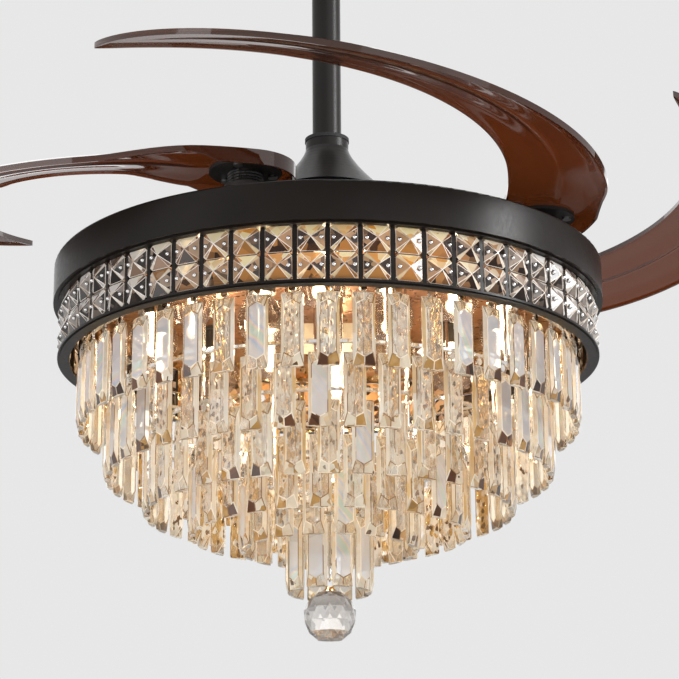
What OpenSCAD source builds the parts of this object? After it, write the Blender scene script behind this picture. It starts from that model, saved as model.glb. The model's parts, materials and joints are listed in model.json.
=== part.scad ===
// Retractable blade ceiling fan with a crystal lamp.
// Millimetres, +Z up. The origin is on the ceiling, at the centre of the hanger bracket.
// The drum's top face is the deck; heights named *_z below it and above it count from there.

/* [Ceiling mount] */
// Distance from the ceiling down to the deck
deck_drop = 380; // [330:5:600]
// Outer diameter of the canopy
canopy_d = 150; // [144:2:180]
// Height of the canopy
canopy_h = 70; // [66:1:90]
// Wall of the canopy
canopy_wall = 1.2; // [0.8:0.1:2]
// Distance between the two ceiling screws
screw_span = 104; // [96:1:110]
// Diameter of the ceiling screw holes
ceiling_hole_d = 5.5; // [4:0.5:7]
// Diameter of the hanger ball
ball_d = 48; // [46:1:52]

/* [Downrod] */
// Outer diameter of the downrod
rod_d = 27; // [24:0.5:30]
// Wall of the downrod
rod_wall = 2.2; // [1.5:0.1:3]
// Diameter of the cross pins through the rod
cross_pin_d = 6; // [5:0.5:8]

/* [Motor] */
// Outer diameter of the rotor shell
motor_d = 190; // [180:2:196]
// Height of the rotor shell's top above the deck
motor_top = 62; // [60:1:66]
// Outer diameter of the hollow motor shaft
shaft_d = 20; // [18:0.5:22]
// Bore of the hollow motor shaft
shaft_bore = 13; // [8:0.5:14]
// Number of stator poles
poles = 12; // [9:3:18]

/* [Blade mechanism] */
// Azimuth of the first blade's pivot
pivot_az = -20; // [-40:1:0]
// Teeth that a blade's gear has on its full circle
blade_teeth = 34; // [32:1:35]
// Teeth that the synchronising ring gear has on its full circle
ring_teeth = 128; // [124:1:129]
// Gear module
gear_m = 2.5; // [2.45:0.01:2.55]
// Thickness of the gears
gear_t = 4; // [3:0.5:5]
// Diameter of the pivot pins
pivot_d = 10; // [8:0.5:12]
// Thickness of the rotor plate
plate_t = 2.5; // [2:0.1:3]

/* [Blades] */
// Length of a blade from its pivot to its tip, along the curve
blade_l = 605; // [560:5:610]
// Width of a blade at the pivot
blade_w = 86; // [76:1:90]
// Thickness of a blade
blade_t = 3; // [2:0.1:3.4]
// Height of the blade's middle above the deck at its root
blade_root_z = 32; // [31:0.5:34]
// How far the blade climbs from its root to its tip
blade_rise = 68; // [60:1:76]
// Angle between the blade and the radius through its pivot
blade_lean = -53; // [-56:1:-50]
// Angle that the blade's curve turns through
blade_sweep = -152; // [-156:1:-148]
// Steepest pitch of the blade
blade_pitch = 16; // [12:1:17]

/* [Drum] */
// Outer diameter of the drum
drum_d = 500; // [480:5:560]
// Height of the drum
drum_h = 35; // [30:1:45]
// Sheet thickness of the drum
drum_wall = 1.5; // [1:0.1:2.5]

/* [Crystal band] */
// How far the points of the band's crystals lie inside the drum's edge
band_inset = 4; // [2:0.5:10]
// Columns of crystals round the band
band_columns = 56; // [48:1:60]
// Rows of crystals in the band
band_rows = 2; // [1:1:3]
// Height of one band crystal
band_crystal = 22.6; // [20:0.1:24]
// Width of the upright slats between the crystals
slat_w = 3.6; // [2.5:0.1:5]
// How far each corner of a band crystal is cut
corner_cut = 2.4; // [1:0.1:5]
// Height of a crystal's faceted point
band_point = 5; // [3:0.5:6]

/* [Prism tiers] */
// Radius of each tier of prisms, as a share of the radius behind the band's crystals
tier_at = [0.937, 0.832, 0.685, 0.513, 0.324, 0.147];
// Depth of each tier's prism bottoms under the deck
tier_drop = [152, 196, 227, 246, 259, 296];
// Spacing of the prisms along each tier
tier_pitch = [29.2, 28.9, 28.4, 28.4, 26.9, 22];
// Length of a prism
prism_l = 63; // [50:1:70]
// Width of a prism
prism_w = 19.5; // [14:0.5:21]
// Depth of a prism from its face to its ridge
prism_t = 11; // [8:0.5:13]
// Length of the cut corners at a prism's ends, along its sides
prism_v = 11; // [8:0.5:14]
// Length of the cut corners at a prism's ends, in the middle of its face
prism_dip = 7; // [3:0.5:7.5]
// Width of the strip along each side of a prism's face
prism_strip = 3; // [1:0.5:4]
// How far back those strips lean
prism_lean = 3; // [1:0.1:3.5]
// Length of a prism's hook
hook_l = 8; // [6:0.5:12]
// Diameter of the bead on each hook
bead_d = 6; // [4:0.5:6]

/* [Lights] */
// Bulbs in the outer and the inner circle
bulb_n = [8, 4];
// Radius of the outer and the inner circle of bulbs
bulb_r = [160, 80];
// Diameter of a bulb's globe
globe_d = 45; // [35:1:50]
// Depth of the globes' centres under the deck
globe_drop = 60; // [58:1:66]

/* [Crystal ball] */
// Diameter of the crystal ball
drop_d = 47; // [30:1:50]
// Depth of its centre under the deck
drop_z = 316; // [310:1:330]

/* [Hidden] */

$fn = 48;
eps = 0.01;
dk = -deck_drop;             // the deck's height in the part's frame
run = 0.05;                  // radial clearance of a running fit
slide = 0.2;                 // radial clearance of a loose guide
seat = 0.3;                  // clearance of a seat that must come apart

// ceiling mount
steel_t = 2.5;
ball_z = -36;
seat_t = 6;
seat_top = ball_z - ball_d / 4;
bracket_w = 44;
leg_x = ball_d / 2 + 10;
tab_x = canopy_d / 2 - canopy_wall - 5;
tab_w = 16;
tab_h = 18;
seat_hole_r = rod_d / 2 + 3;
seat_slot = rod_d + 2.4;
wire_hole_r = 12;
canopy_screw_z = -11;
canopy_band = 16;
canopy_hole_r = rod_d / 2 + 17;
canopy_lip = 2;
canopy_screw_d = 4;

// hanging parts
rod_top = ball_z + ball_d / 4;
rod_foot = dk + 97;
coupling_r = rod_d / 2 + 4.6;
coupling_foot = dk + 77;
coupling_top = dk + 125;
coupling_pin_z = dk + 111;
cover_top = dk + 130;
cover_foot = dk + 75;
cover_top_r = rod_d / 2 + 6.5;
cover_foot_r = 58;
cover_wall = 1.5;
cover_neck = 8;              // the straight stretch at the cover's top
flare_steps = 12;
flare_bow = 1.35;            // 1 is a straight cone, more draws the middle in
set_screw_d = 5;
set_screw_z = rod_foot - 9;
shaft_top = rod_foot - 1;

// rotor
blade_count = 4;
blade_gear_d = gear_m * blade_teeth;
ring_gear_d = gear_m * ring_teeth;
pivot_r = (blade_gear_d + ring_gear_d) / 2;
plate_z = dk + 8;
plate_top = plate_z + plate_t;
plate_r = ring_gear_d / 2 + 24;
motor_r = motor_d / 2;
shell_wall = 2.5;
shell_top = dk + motor_top;
bearing_r = shaft_d / 2 + 11;
bearing_h = 12;
shaft_clear_r = shaft_d / 2 + 3;
rotor_screw_r = motor_r - 8;
rotor_screw_d = 4;
lower_bearing_z = dk + 4;
upper_bearing_z = shell_top - 2;
boss_wall = 5;
gear_z = plate_top + seat;
gear_top = gear_z + gear_t;
retainer_t = 3;
stator_z = dk + 24;
stator_h = 22;
magnet_t = 5;
air_gap = 0.8;
stator_r = motor_r - shell_wall - magnet_t - air_gap;
coil_w = 5;
pole_w = 10;

// blade holder, under the blade's flat root
root_under = dk + blade_root_z - blade_t / 2;
holder_flange_t = 3;
holder_flange_r = blade_w / 2 - 12;
holder_hub_r = pivot_d / 2 + 8;
pin_seat_z = root_under - 8;
spring_wire = 1.6;
spring_r = holder_hub_r + 1 + spring_wire / 2;
spring_turns = 4;
screw_ring_r = holder_flange_r - 7;
blade_screw_d = 4;

// gears
gear_backlash = 0.5;
tooth_up = 0.8 * gear_m;
tooth_down = 1.05 * gear_m;
tooth_lean = 22;
ring_root_r = ring_gear_d / 2 - tooth_down;
ring_rim_r = ring_root_r - 7;
hub_w = 14;                  // width of the ring gear's hub round the rotor shell
ring_sector = 7;             // teeth on each side of a pivot
sector_close = 6;            // teeth that a blade gear needs to fold its blade
sector_open = 7;             // teeth that it needs to open it

// lamp
drum_r = drum_d / 2;
drum_lip = 14;
drum_roll = 1.8;             // radius of the drum's rolled top edge
deck_t = 2;
deck_under = dk - drum_wall - deck_t;
light_z = dk - 15.5;
light_t = 1.5;
nut_h = 7;
nut_d = 1.6 * shaft_d;
shaft_foot = light_z - nut_h - 3;
spacer_r = 5;
spacer_at = 120;             // how far the spacers stand from the middle
cable_hole_d = 12;
cable_hole_at = 60;
driver = [86, 42, 18];
driver_at = 120;
driver_slots = 7;
band_top = dk - drum_h - 1.5;
row_h = band_crystal + 1;
band_h = band_rows * row_h + 1;
band_foot = band_top - band_h;
band_r = drum_r - band_inset;
stone_slab = 3;              // thickness of a crystal's square edge
band_back_r = band_r - band_point - stone_slab;
slat_depth = 5;
slat_r = band_back_r - slat_depth / 2;
stone_clear = 0.27;          // clearance between a crystal and each slat
stone_w = 2 * band_back_r * tan(180 / band_columns) - slat_w - 2 * stone_clear;
divider_w = 2;               // width and height of the ring between two rows
divider_t = 1;
flange_t = 3;
flange_w = 4;                // how far the foot ring reaches in behind the crystals
tier_r = [for (s = tier_at) s * band_back_r];
tier_n = [for (i = [0 : len(tier_at) - 1]) round(2 * PI * tier_r[i] / tier_pitch[i])];
ring_w = 4;
ring_t = 2.5;
bar_w = 4;                   // width of the lowest tier's cross bars
rod_r = 1.6;
rod_n = [8, 6, 8, 4, 4, 4];
rod_az = [20, 20, 20, 25, 65, 20];
socket_h = 20;
socket_r = 12;
wire_r = 0.7;
prism_face = 0.35 * prism_t; // from the hook's line out to the prism's face

// ---------------------------------------------------------------- shared shapes

// a tube standing on z = 0
module tube(r_out, r_in, h) {
    difference() {
        cylinder(r = r_out, h = h);
        translate([0, 0, -1]) cylinder(r = r_in, h = h + 2);
    }
}

// a pan-head screw along +Z, its head's underside at z = 0 and its shank below
module screw(d, shank) {
    cylinder(d = 2 * d, h = 0.5 * d);
    translate([0, 0, -shank]) cylinder(d = d, h = shank + eps);
}

// copies its children at n equal turns about Z
module around(n, start = 0) {
    for (i = [0 : n - 1]) rotate(start + i * 360 / n) children();
}

// copies its children at each blade's pivot
module at_pivots() {
    around(blade_count, pivot_az) translate([pivot_r, 0, 0]) children();
}

// one gear tooth as a flat outline, pointing along +X from a gear of pitch radius r
module tooth(r, root_r) {
    half = (PI * gear_m / 2 - gear_backlash) / 2;
    tip = half - tooth_up * tan(tooth_lean);
    foot = half + tooth_down * tan(tooth_lean);
    polygon([[root_r - 1, -foot], [r - tooth_down, -foot], [r + tooth_up, -tip],
        [r + tooth_up, tip], [r - tooth_down, foot], [root_r - 1, foot]]);
}

// ---------------------------------------------------------------- ceiling mount

module ceiling_bracket() {
    color("silver") difference() {
        union() {
            translate([-tab_x, -bracket_w / 2, -steel_t]) cube([2 * tab_x, bracket_w, steel_t]);
            for (s = [-1, 1]) {
                translate([s * (tab_x - steel_t / 2) - steel_t / 2, -tab_w / 2, -tab_h])
                    cube([steel_t, tab_w, tab_h]);
                translate([s * leg_x - steel_t / 2, -bracket_w / 2, seat_top - seat_t])
                    cube([steel_t, bracket_w, -seat_top + seat_t]);
            }
            translate([-leg_x, -bracket_w / 2, seat_top - seat_t])
                cube([2 * leg_x, bracket_w, seat_t]);
        }
        translate([0, 0, ball_z]) sphere(d = ball_d + 2 * seat);
        translate([0, 0, seat_top - seat_t - 1]) cylinder(r = seat_hole_r, h = seat_t + 2);
        translate([-seat_slot / 2, 0, seat_top - seat_t - 1])
            cube([seat_slot, bracket_w, seat_t + 2]);
        translate([0, 0, -steel_t - 1]) cylinder(r = wire_hole_r, h = steel_t + 2);
        for (s = [-1, 1]) {
            translate([s * screw_span / 2, 0, -steel_t - 1])
                cylinder(d = ceiling_hole_d, h = steel_t + 2);
            translate([s * (tab_x + 1), 0, canopy_screw_z]) rotate([0, -s * 90, 0])
                cylinder(d = canopy_screw_d, h = steel_t + 2);
        }
    }
}

module canopy() {
    r = canopy_d / 2;
    w = canopy_wall;
    bowl = r - canopy_hole_r - 4;
    bowl_h = canopy_h - canopy_band;
    steps = 10;
    outer = [for (i = [0 : steps]) let (a = 90 * i / steps)
        [r - bowl * (1 - cos(a)), -canopy_band - (bowl_h - canopy_lip) * sin(a)]];
    inner = [for (i = [steps : -1 : 0]) let (a = 90 * i / steps)
        [r - w - (bowl - w) * (1 - cos(a)), -canopy_band - (bowl_h - canopy_lip - w) * sin(a)]];
    color("dimgray") difference() {
        rotate_extrude($fn = 72) polygon(concat([[r, 0]], outer,
            [[canopy_hole_r, -canopy_h], [canopy_hole_r, w + canopy_lip - canopy_h]],
            inner, [[r - w, 0]]));
        for (s = [-1, 1]) translate([s * (r + 1), 0, canopy_screw_z]) rotate([0, -s * 90, 0])
            cylinder(d = canopy_screw_d + 2 * seat, h = 6);
    }
}

module canopy_screws() {
    reach = canopy_d / 2 - tab_x + steel_t;
    head_d = 8;
    head_t = 2.2;
    color("dimgray") for (s = [-1, 1])
        translate([s * canopy_d / 2, 0, canopy_screw_z]) rotate([0, s * 90, 0]) {
            cylinder(d = head_d, h = head_t);
            translate([0, 0, -reach]) cylinder(d = canopy_screw_d - 2 * run, h = reach + eps);
        }
}

// ---------------------------------------------------------------- hanging rod

module hanger_ball() {
    flat_up = 15;
    flat_down = 21.5;
    color("black") difference() {
        translate([0, 0, ball_z]) sphere(d = ball_d, $fn = 64);
        translate([0, 0, ball_z + flat_up]) cylinder(d = ball_d, h = ball_d);
        translate([0, 0, ball_z - flat_down - ball_d]) cylinder(d = ball_d, h = ball_d);
        translate([0, 0, ball_z - ball_d]) cylinder(r = rod_d / 2 + run, h = 2 * ball_d);
        translate([0, 0, ball_z]) rotate([90, 0, 0])
            cylinder(d = cross_pin_d + 2 * run, h = 2 * ball_d, center = true);
    }
}

module ball_pin() {
    color("silver") translate([0, 0, ball_z]) rotate([90, 0, 0])
        cylinder(d = cross_pin_d, h = ball_d - 4, center = true);
}

module downrod() {
    color([0.17, 0.17, 0.18]) difference() {
        translate([0, 0, rod_foot]) cylinder(d = rod_d, h = rod_top - rod_foot);
        translate([0, 0, rod_foot - 1])
            cylinder(r = rod_d / 2 - rod_wall, h = rod_top - rod_foot + 2);
        for (z = [ball_z, coupling_pin_z]) translate([0, 0, z]) rotate([90, 0, 0])
            cylinder(d = cross_pin_d + 2 * run, h = 2 * rod_d, center = true);
    }
}

module coupling() {
    collar_w = 10;
    collar_t = 4;
    color("silver") difference() {
        union() {
            translate([0, 0, coupling_foot]) cylinder(r = coupling_r, h = coupling_top - coupling_foot);
            translate([0, 0, coupling_foot]) cylinder(r = coupling_r + collar_w, h = collar_t);
        }
        translate([0, 0, rod_foot]) cylinder(r = rod_d / 2 + run, h = 60);
        translate([0, 0, coupling_foot - 1]) cylinder(r = shaft_d / 2 + run, h = 60);
        translate([0, 0, coupling_pin_z]) rotate([90, 0, 0])
            cylinder(d = cross_pin_d + 2 * run, h = 80, center = true);
        for (s = [-1, 1]) translate([0, 0, set_screw_z]) rotate([0, s * 90, 0])
            cylinder(d = set_screw_d + 2 * run, h = 40);
    }
}

module coupling_pin() {
    reach = 2 * coupling_r + 5;
    color("gainsboro") translate([0, 0, coupling_pin_z]) rotate([90, 0, 0]) difference() {
        cylinder(d = cross_pin_d, h = reach, center = true);
        translate([0, 0, reach / 2 - 2]) rotate([0, 90, 0]) cylinder(d = 1.6, h = 20, center = true);
    }
}

module set_screws() {
    color("dimgray") for (s = [-1, 1]) translate([0, 0, set_screw_z]) rotate([0, s * 90, 0])
        translate([0, 0, shaft_d / 2 + run]) difference() {
            cylinder(d = set_screw_d, h = 10);
            translate([0, 0, 7]) cylinder(d = set_screw_d / 2, h = 4, $fn = 6);
        }
}

// the flared cover over the coupling
module coupling_cover() {
    flare_h = cover_top - cover_foot - cover_neck;
    flare = [for (i = [0 : flare_steps]) let (u = i / flare_steps)
        [cover_top_r + (cover_foot_r - cover_top_r) * pow(1 - u, flare_bow), flare_h * u]];
    color([0.2, 0.2, 0.21]) translate([0, 0, cover_foot]) rotate_extrude($fn = 72)
        polygon(concat(flare, [[cover_top_r, flare_h + cover_neck],
            [cover_top_r - cover_wall, flare_h + cover_neck]],
            [for (i = [flare_steps : -1 : 0]) flare[i] - [cover_wall, 0]]));
}

// the collar that grips the rod and holds the cover up
module cover_ring() {
    foot = coupling_top + seat;
    rim_w = 0.6;
    rim_h = 3.5;
    color("black") translate([0, 0, foot]) difference() {
        union() {
            cylinder(r = cover_top_r - cover_wall, h = cover_top - foot);
            translate([0, 0, cover_top - foot]) cylinder(r = cover_top_r + rim_w, h = rim_h);
        }
        translate([0, 0, -1]) cylinder(r = rod_d / 2 + run, h = 12);
    }
}

module motor_shaft() {
    color("gainsboro") translate([0, 0, shaft_foot])
        tube(shaft_d / 2, shaft_bore / 2, shaft_top - shaft_foot);
}

// the hexagon nuts under the deck plate and the light plate
module shaft_nuts() {
    color("silver") for (z = [deck_under, light_z]) translate([0, 0, z - nut_h]) difference() {
        cylinder(d = nut_d, h = nut_h, $fn = 6);
        translate([0, 0, -1]) cylinder(r = shaft_d / 2 + run, h = nut_h + 2);
    }
}

// a deep-groove bearing: two races and a ring of balls
module bearing(z) {
    ball = 6;
    mid = (bearing_r + shaft_d / 2) / 2;
    color("silver") translate([0, 0, z]) {
        difference() {
            union() {
                tube(bearing_r, mid + ball / 4, bearing_h);
                tube(mid - ball / 4, shaft_d / 2 + run, bearing_h);
            }
            translate([0, 0, bearing_h / 2]) rotate_extrude() translate([mid, 0])
                circle(d = ball + 0.2, $fn = 24);
        }
        translate([0, 0, bearing_h / 2]) around(9) translate([mid, 0, 0]) sphere(d = ball, $fn = 24);
    }
}

module upper_bearing() { bearing(upper_bearing_z); }

module lower_bearing() { bearing(lower_bearing_z); }

module stator_core() {
    color("slategray") translate([0, 0, stator_z]) difference() {
        union() {
            cylinder(r = stator_r * 0.5, h = stator_h);
            around(poles) translate([stator_r * 0.5 - 2, -pole_w / 2, 0])
                cube([stator_r * 0.5 - 2, pole_w, stator_h]);
            difference() {
                tube(stator_r, stator_r - 4, stator_h);
                around(poles, 180 / poles) translate([stator_r - 6, -2, -1]) cube([9, 4, stator_h + 2]);
            }
        }
        translate([0, 0, -1]) cylinder(r = shaft_d / 2 + run, h = stator_h + 2);
    }
}

module stator_windings() {
    coil_in = stator_r * 0.5 + 4;
    coil_out = stator_r - 7;
    hole = pole_w + 2 * seat;
    color("peru") translate([0, 0, stator_z]) around(poles)
        translate([coil_in, 0, 0]) difference() {
            translate([0, -(hole + coil_w) / 2, -coil_w])
                cube([coil_out - coil_in, hole + coil_w, stator_h + 2 * coil_w]);
            translate([-1, -hole / 2, -seat]) cube([coil_out, hole, stator_h + 2 * seat]);
        }
}

// ---------------------------------------------------------------- rotor

module rotor_plate() {
    color([0.15, 0.15, 0.16]) difference() {
        union() {
            translate([0, 0, plate_z]) linear_extrude(plate_t) {
                circle(r = plate_r, $fn = 96);
                at_pivots() circle(r = pivot_d / 2 + 15);
            }
            translate([0, 0, lower_bearing_z - 1])
                cylinder(r = bearing_r + boss_wall, h = bearing_h + 3);
        }
        translate([0, 0, lower_bearing_z - 2]) cylinder(r = bearing_r + run, h = bearing_h + 2);
        translate([0, 0, dk]) cylinder(r = shaft_clear_r, h = 40);
        at_pivots() translate([0, 0, plate_z - 1]) cylinder(r = pivot_d / 2 + run, h = plate_t + 2);
        around(6, 30) translate([rotor_screw_r, 0, plate_z - 1])
            cylinder(d = rotor_screw_d + 2 * run, h = plate_t + 2);
    }
}

// the rotor's outer shell, with a foot that the ring gear turns on and vents in its shoulder
module rotor_shell() {
    r = motor_r;
    w = shell_wall;
    h = shell_top - plate_top;
    foot_w = 14;
    shoulder = 12;
    boss = bearing_r + boss_wall;
    boss_top = upper_bearing_z + bearing_h + 1 - plate_top;
    vents = 16;
    color([0.15, 0.15, 0.16]) difference() {
        translate([0, 0, plate_top]) rotate_extrude($fn = 96) polygon([
            [r - foot_w, 0], [r, 0], [r, h - shoulder], [r - 3, h - 5], [r - 10, h], [boss, h],
            [boss, boss_top], [shaft_clear_r, boss_top],
            [shaft_clear_r, boss_top - 1], [bearing_r + run, boss_top - 1],
            [bearing_r + run, h - w - 1], [boss, h - w - 1], [boss, h - w], [r - 11, h - w],
            [r - w - 2.5, h - 7], [r - w, h - shoulder], [r - w, w], [r - foot_w, w]]);
        around(vents) translate([r - 26, 0, shell_top - w - 2]) cylinder(d = 9, h = w + 4);
        around(6, 30) translate([rotor_screw_r, 0, plate_top - 1])
            cylinder(d = rotor_screw_d + 2 * run, h = w + 2);
    }
}

module magnet_ring() {
    color("gray") translate([0, 0, stator_z - 3]) difference() {
        tube(motor_r - shell_wall - run, motor_r - shell_wall - magnet_t, stator_h + 6);
        around(14) translate([motor_r - shell_wall - magnet_t - 1, -0.6, -1])
            cube([magnet_t + 2, 1.2, stator_h + 8]);
    }
}

module rotor_screws() {
    color("silver") around(6, 30) translate([rotor_screw_r, 0, plate_z]) rotate([180, 0, 0])
        screw(rotor_screw_d, plate_t + shell_wall);
}

// a split collar that keeps the ring gear down on the rotor plate
module ring_retainer() {
    color("silver") translate([0, 0, gear_top + seat]) difference() {
        tube(motor_r + 9, motor_r + run, retainer_t);
        translate([motor_r - 2, -1, -1]) cube([14, 2, retainer_t + 2]);
    }
}

module pivot_pins() {
    color("silver") at_pivots() {
        translate([0, 0, plate_z - 3]) cylinder(d = pivot_d + 8, h = 3);
        translate([0, 0, plate_z - eps]) cylinder(d = pivot_d, h = pin_seat_z + 0.2 - plate_z);
    }
}

module pivot_caps() {
    color("gainsboro") at_pivots() translate([0, 0, pin_seat_z + 0.2]) {
        cylinder(r = pivot_d / 2 + 3, h = 1.5);
        translate([0, 0, 1.5 - eps]) cylinder(d = pivot_d, h = 3.2, $fn = 6);
    }
}

// the coil springs that draw the blades in, one round each holder's hub
module return_springs() {
    sides = 5;
    steps = 12 * spring_turns;
    low = gear_top + seat + spring_wire / 2;
    rise = root_under - holder_flange_t - seat - spring_wire / 2 - low;
    function coil(t) = [spring_r * cos(360 * spring_turns * t), spring_r * sin(360 * spring_turns * t),
        low + rise * t];
    function rim(t, k) = let (a = 360 * spring_turns * t, b = 360 * k / sides)
        coil(t) + spring_wire / 2 * [cos(a) * cos(b), sin(a) * cos(b), sin(b)];
    points = [for (i = [0 : steps]) for (k = [0 : sides - 1]) rim(i / steps, k)];
    faces = concat([[for (k = [sides - 1 : -1 : 0]) k]],
        [for (i = [0 : steps - 1]) for (k = [0 : sides - 1])
            let (n = (k + 1) % sides, a = i * sides, b = a + sides)
            each [[a + k, a + n, b + k], [a + n, b + n, b + k]]],
        [[for (k = [0 : sides - 1]) steps * sides + k]]);
    color("gray") at_pivots() polyhedron(points, faces, convexity = 6);
}

// the ring gear that turns all the blades together
module sync_ring() {
    hub_r = motor_r + hub_w;
    spokes = 12;
    color("burlywood") translate([0, 0, gear_z]) linear_extrude(gear_t) {
        difference() {
            circle(r = ring_root_r, $fn = 128);
            circle(r = ring_rim_r, $fn = 96);
        }
        difference() {
            circle(r = hub_r, $fn = 96);
            circle(r = motor_r + slide, $fn = 96);
        }
        around(spokes, pivot_az) translate([hub_r - 3, -4]) square([ring_rim_r - hub_r + 6, 8]);
        around(blade_count, pivot_az) for (i = [-ring_sector : ring_sector])
            rotate((i + 0.5) * 360 / ring_teeth) tooth(ring_gear_d / 2, ring_root_r);
    }
}

// ---------------------------------------------------------------- blades

// a blade's curve: its heading, its middle line and its height, all from t = 0 at the
// pivot to t = 1 at the tip
curve_steps = 120;
flat_root = 0.055;           // the share of the length that lies flat on the holder
edge_w = 2;
function heading(t) = blade_lean + blade_sweep * t;
blade_line = [for (i = 0, p = [0, 0]; i <= curve_steps;
    p = p + blade_l / curve_steps * [cos(heading((i + 0.5) / curve_steps)),
        sin(heading((i + 0.5) / curve_steps))], i = i + 1) p];
function along(t) = let (x = min(max(t, 0), 1) * curve_steps, i = min(floor(x), curve_steps - 1))
    blade_line[i] + (x - i) * (blade_line[i + 1] - blade_line[i])
    + min(t, 0) * blade_l * [cos(blade_lean), sin(blade_lean)];
function blade_height(t) = blade_root_z + blade_rise * pow(max(t - flat_root, 0) / (1 - flat_root), 1.6);
function ease(x) = let (c = min(max(x, 0), 1)) c * c * (3 - 2 * c);
function pitch_at(t) = blade_pitch * (1 - pow((t - 0.43) / 0.56, 2)) * ease((t - 0.06) / 0.14);
blade_r = blade_w / 2;
function half_width(t) = t < 0 ? sqrt(max(blade_r * blade_r - pow(t * blade_l, 2), 1))
    : blade_r * pow(max(1 - pow(t, 3.2), 0.0004), 0.8);
function skirt(t) = 2 + 8 * ease((0.075 - t) / 0.03);
function crown(t) = 3.5 * ease((t - 0.04) / 0.1) * (1 - ease((t - 0.62) / 0.3));

// the outline across the blade at t, inner edge to outer edge over the top and back
// underneath: a crease in the middle and both edges turned down
function section(t) = let (h = half_width(t), e = min(edge_w, h * 0.4), c = crown(t), s = skirt(t),
    f = -blade_t) [
    [-h, 0], [-0.45 * h, 0.4 * c], [-0.02 * h, 0.3 * c], [0.08 * h, c], [0.6 * h, 0.9 * c], [h, 0],
    [h, f - s], [h - e, f - s], [h - e, f], [0.6 * h, 0.9 * c + f], [0.08 * h, c + f],
    [-0.02 * h, 0.3 * c + f], [-0.45 * h, 0.4 * c + f], [-h + e, f], [-h + e, f - s], [-h, f - s]];

function placed(t) = let (p = along(t), a = heading(max(t, 0)), w = pitch_at(t), z = blade_height(t))
    [for (q = section(t)) let (across = q[0] * cos(w) + q[1] * sin(w),
        up = -q[0] * sin(w) + q[1] * cos(w))
        [p[0] - across * sin(a), p[1] + across * cos(a), dk + z + blade_t / 2 + up]];

module blade_body() {
    round_end = [for (a = [10, 26, 44, 64]) -blade_r / blade_l * cos(a)];
    body = [for (i = [0 : 19]) i / 20.6];
    tip = [0.955, 0.98, 0.994, 1];
    stations = concat(round_end, body, tip);
    rings = [for (t = stations) placed(t)];
    n = len(rings[0]);
    last = len(stations) - 1;
    points = [for (r = rings) for (q = r) q];
    faces = concat([[for (k = [n - 1 : -1 : 0]) k]],
        [for (i = [0 : last - 1]) for (k = [0 : n - 1])
            let (m = (k + 1) % n, a = i * n, b = a + n)
            each [[a + k, a + m, b + k], [a + m, b + m, b + k]]],
        [[for (k = [0 : n - 1]) last * n + k]]);
    polyhedron(points, faces, convexity = 8);
}

// copies its children at the pivot of blade k
module at_pivot(k) {
    rotate(pivot_az - k * 360 / blade_count) translate([pivot_r, 0, 0]) children();
}

// copies its children at the three screws of a blade's root
module at_blade_screws() {
    around(3, blade_lean + 60) translate([screw_ring_r, 0, 0]) children();
}

module placed_blade(k) {
    color([0.42, 0.2, 0.1, 0.75]) at_pivot(k) difference() {
        blade_body();
        at_blade_screws() translate([0, 0, root_under - 1])
            cylinder(d = blade_screw_d + 2 * run, h = blade_t + 2);
    }
}

module blade_1() { placed_blade(0); }
module blade_2() { placed_blade(1); }
module blade_3() { placed_blade(2); }
module blade_4() { placed_blade(3); }

// the holder under a blade's root: a gear sector, a hub that turns on the pivot pin, and a
// flange that the blade is screwed to
module holder(k) {
    root = blade_gear_d / 2 - tooth_down;
    step = 360 / blade_teeth;
    low = 180 - (sector_open + 0.5) * step;
    high = 180 + (sector_close + 0.5) * step;
    color("tan") at_pivot(k) difference() {
        union() {
            translate([0, 0, gear_z]) linear_extrude(gear_t) {
                circle(r = holder_hub_r + 6);
                polygon(concat([[0, 0]], [for (a = [low : (high - low) / 24 : high + eps])
                    root * [cos(a), sin(a)]]));
                for (i = [-sector_open : sector_close])
                    rotate(180 + i * step) tooth(blade_gear_d / 2, root);
            }
            translate([0, 0, gear_z]) cylinder(r = holder_hub_r, h = root_under - gear_z);
            translate([0, 0, root_under - holder_flange_t])
                cylinder(r = holder_flange_r, h = holder_flange_t);
        }
        translate([0, 0, gear_z - 1]) cylinder(r = pivot_d / 2 + run, h = 60);
        translate([0, 0, pin_seat_z]) cylinder(r = pivot_d / 2 + 4, h = 20);
        at_blade_screws() translate([0, 0, root_under - holder_flange_t - 1])
            cylinder(d = blade_screw_d + 2 * run, h = 20);
    }
}

module blade_holder_1() { holder(0); }
module blade_holder_2() { holder(1); }
module blade_holder_3() { holder(2); }
module blade_holder_4() { holder(3); }

// three screws from under the holder's flange, which end flush with the blade's top
module holder_screws(k) {
    color("silver") at_pivot(k) at_blade_screws()
        translate([0, 0, root_under - holder_flange_t]) rotate([180, 0, 0])
            screw(blade_screw_d, holder_flange_t + blade_t - 0.2);
}

module blade_screws_1() { holder_screws(0); }
module blade_screws_2() { holder_screws(1); }
module blade_screws_3() { holder_screws(2); }
module blade_screws_4() { holder_screws(3); }

// ---------------------------------------------------------------- lamp body

module deck_plate() {
    color([0.15, 0.15, 0.16]) translate([0, 0, deck_under]) difference() {
        cylinder(r = drum_r - 2 * drum_roll - seat, h = deck_t, $fn = 96);
        translate([0, 0, -1]) cylinder(r = shaft_d / 2 + run, h = deck_t + 2);
        around(3, 20) translate([cable_hole_at, 0, -1]) cylinder(d = cable_hole_d, h = deck_t + 2);
    }
}

// the drum: a spun ring with a rolled top edge, an inward top lip and an inward bottom lip
module drum_shade() {
    r = drum_r;
    w = drum_wall;
    foot_r = band_back_r - 1;
    color([0.16, 0.15, 0.15]) translate([0, 0, dk]) rotate_extrude($fn = 120) {
        translate([r - w, -drum_h]) square([w, drum_h - drum_roll]);
        translate([r - drum_lip, -w]) square([drum_lip - drum_roll, w]);
        translate([foot_r, -drum_h]) square([r - foot_r, w]);
        translate([r - drum_roll, -drum_roll]) circle(r = drum_roll, $fn = 24);
    }
}

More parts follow.
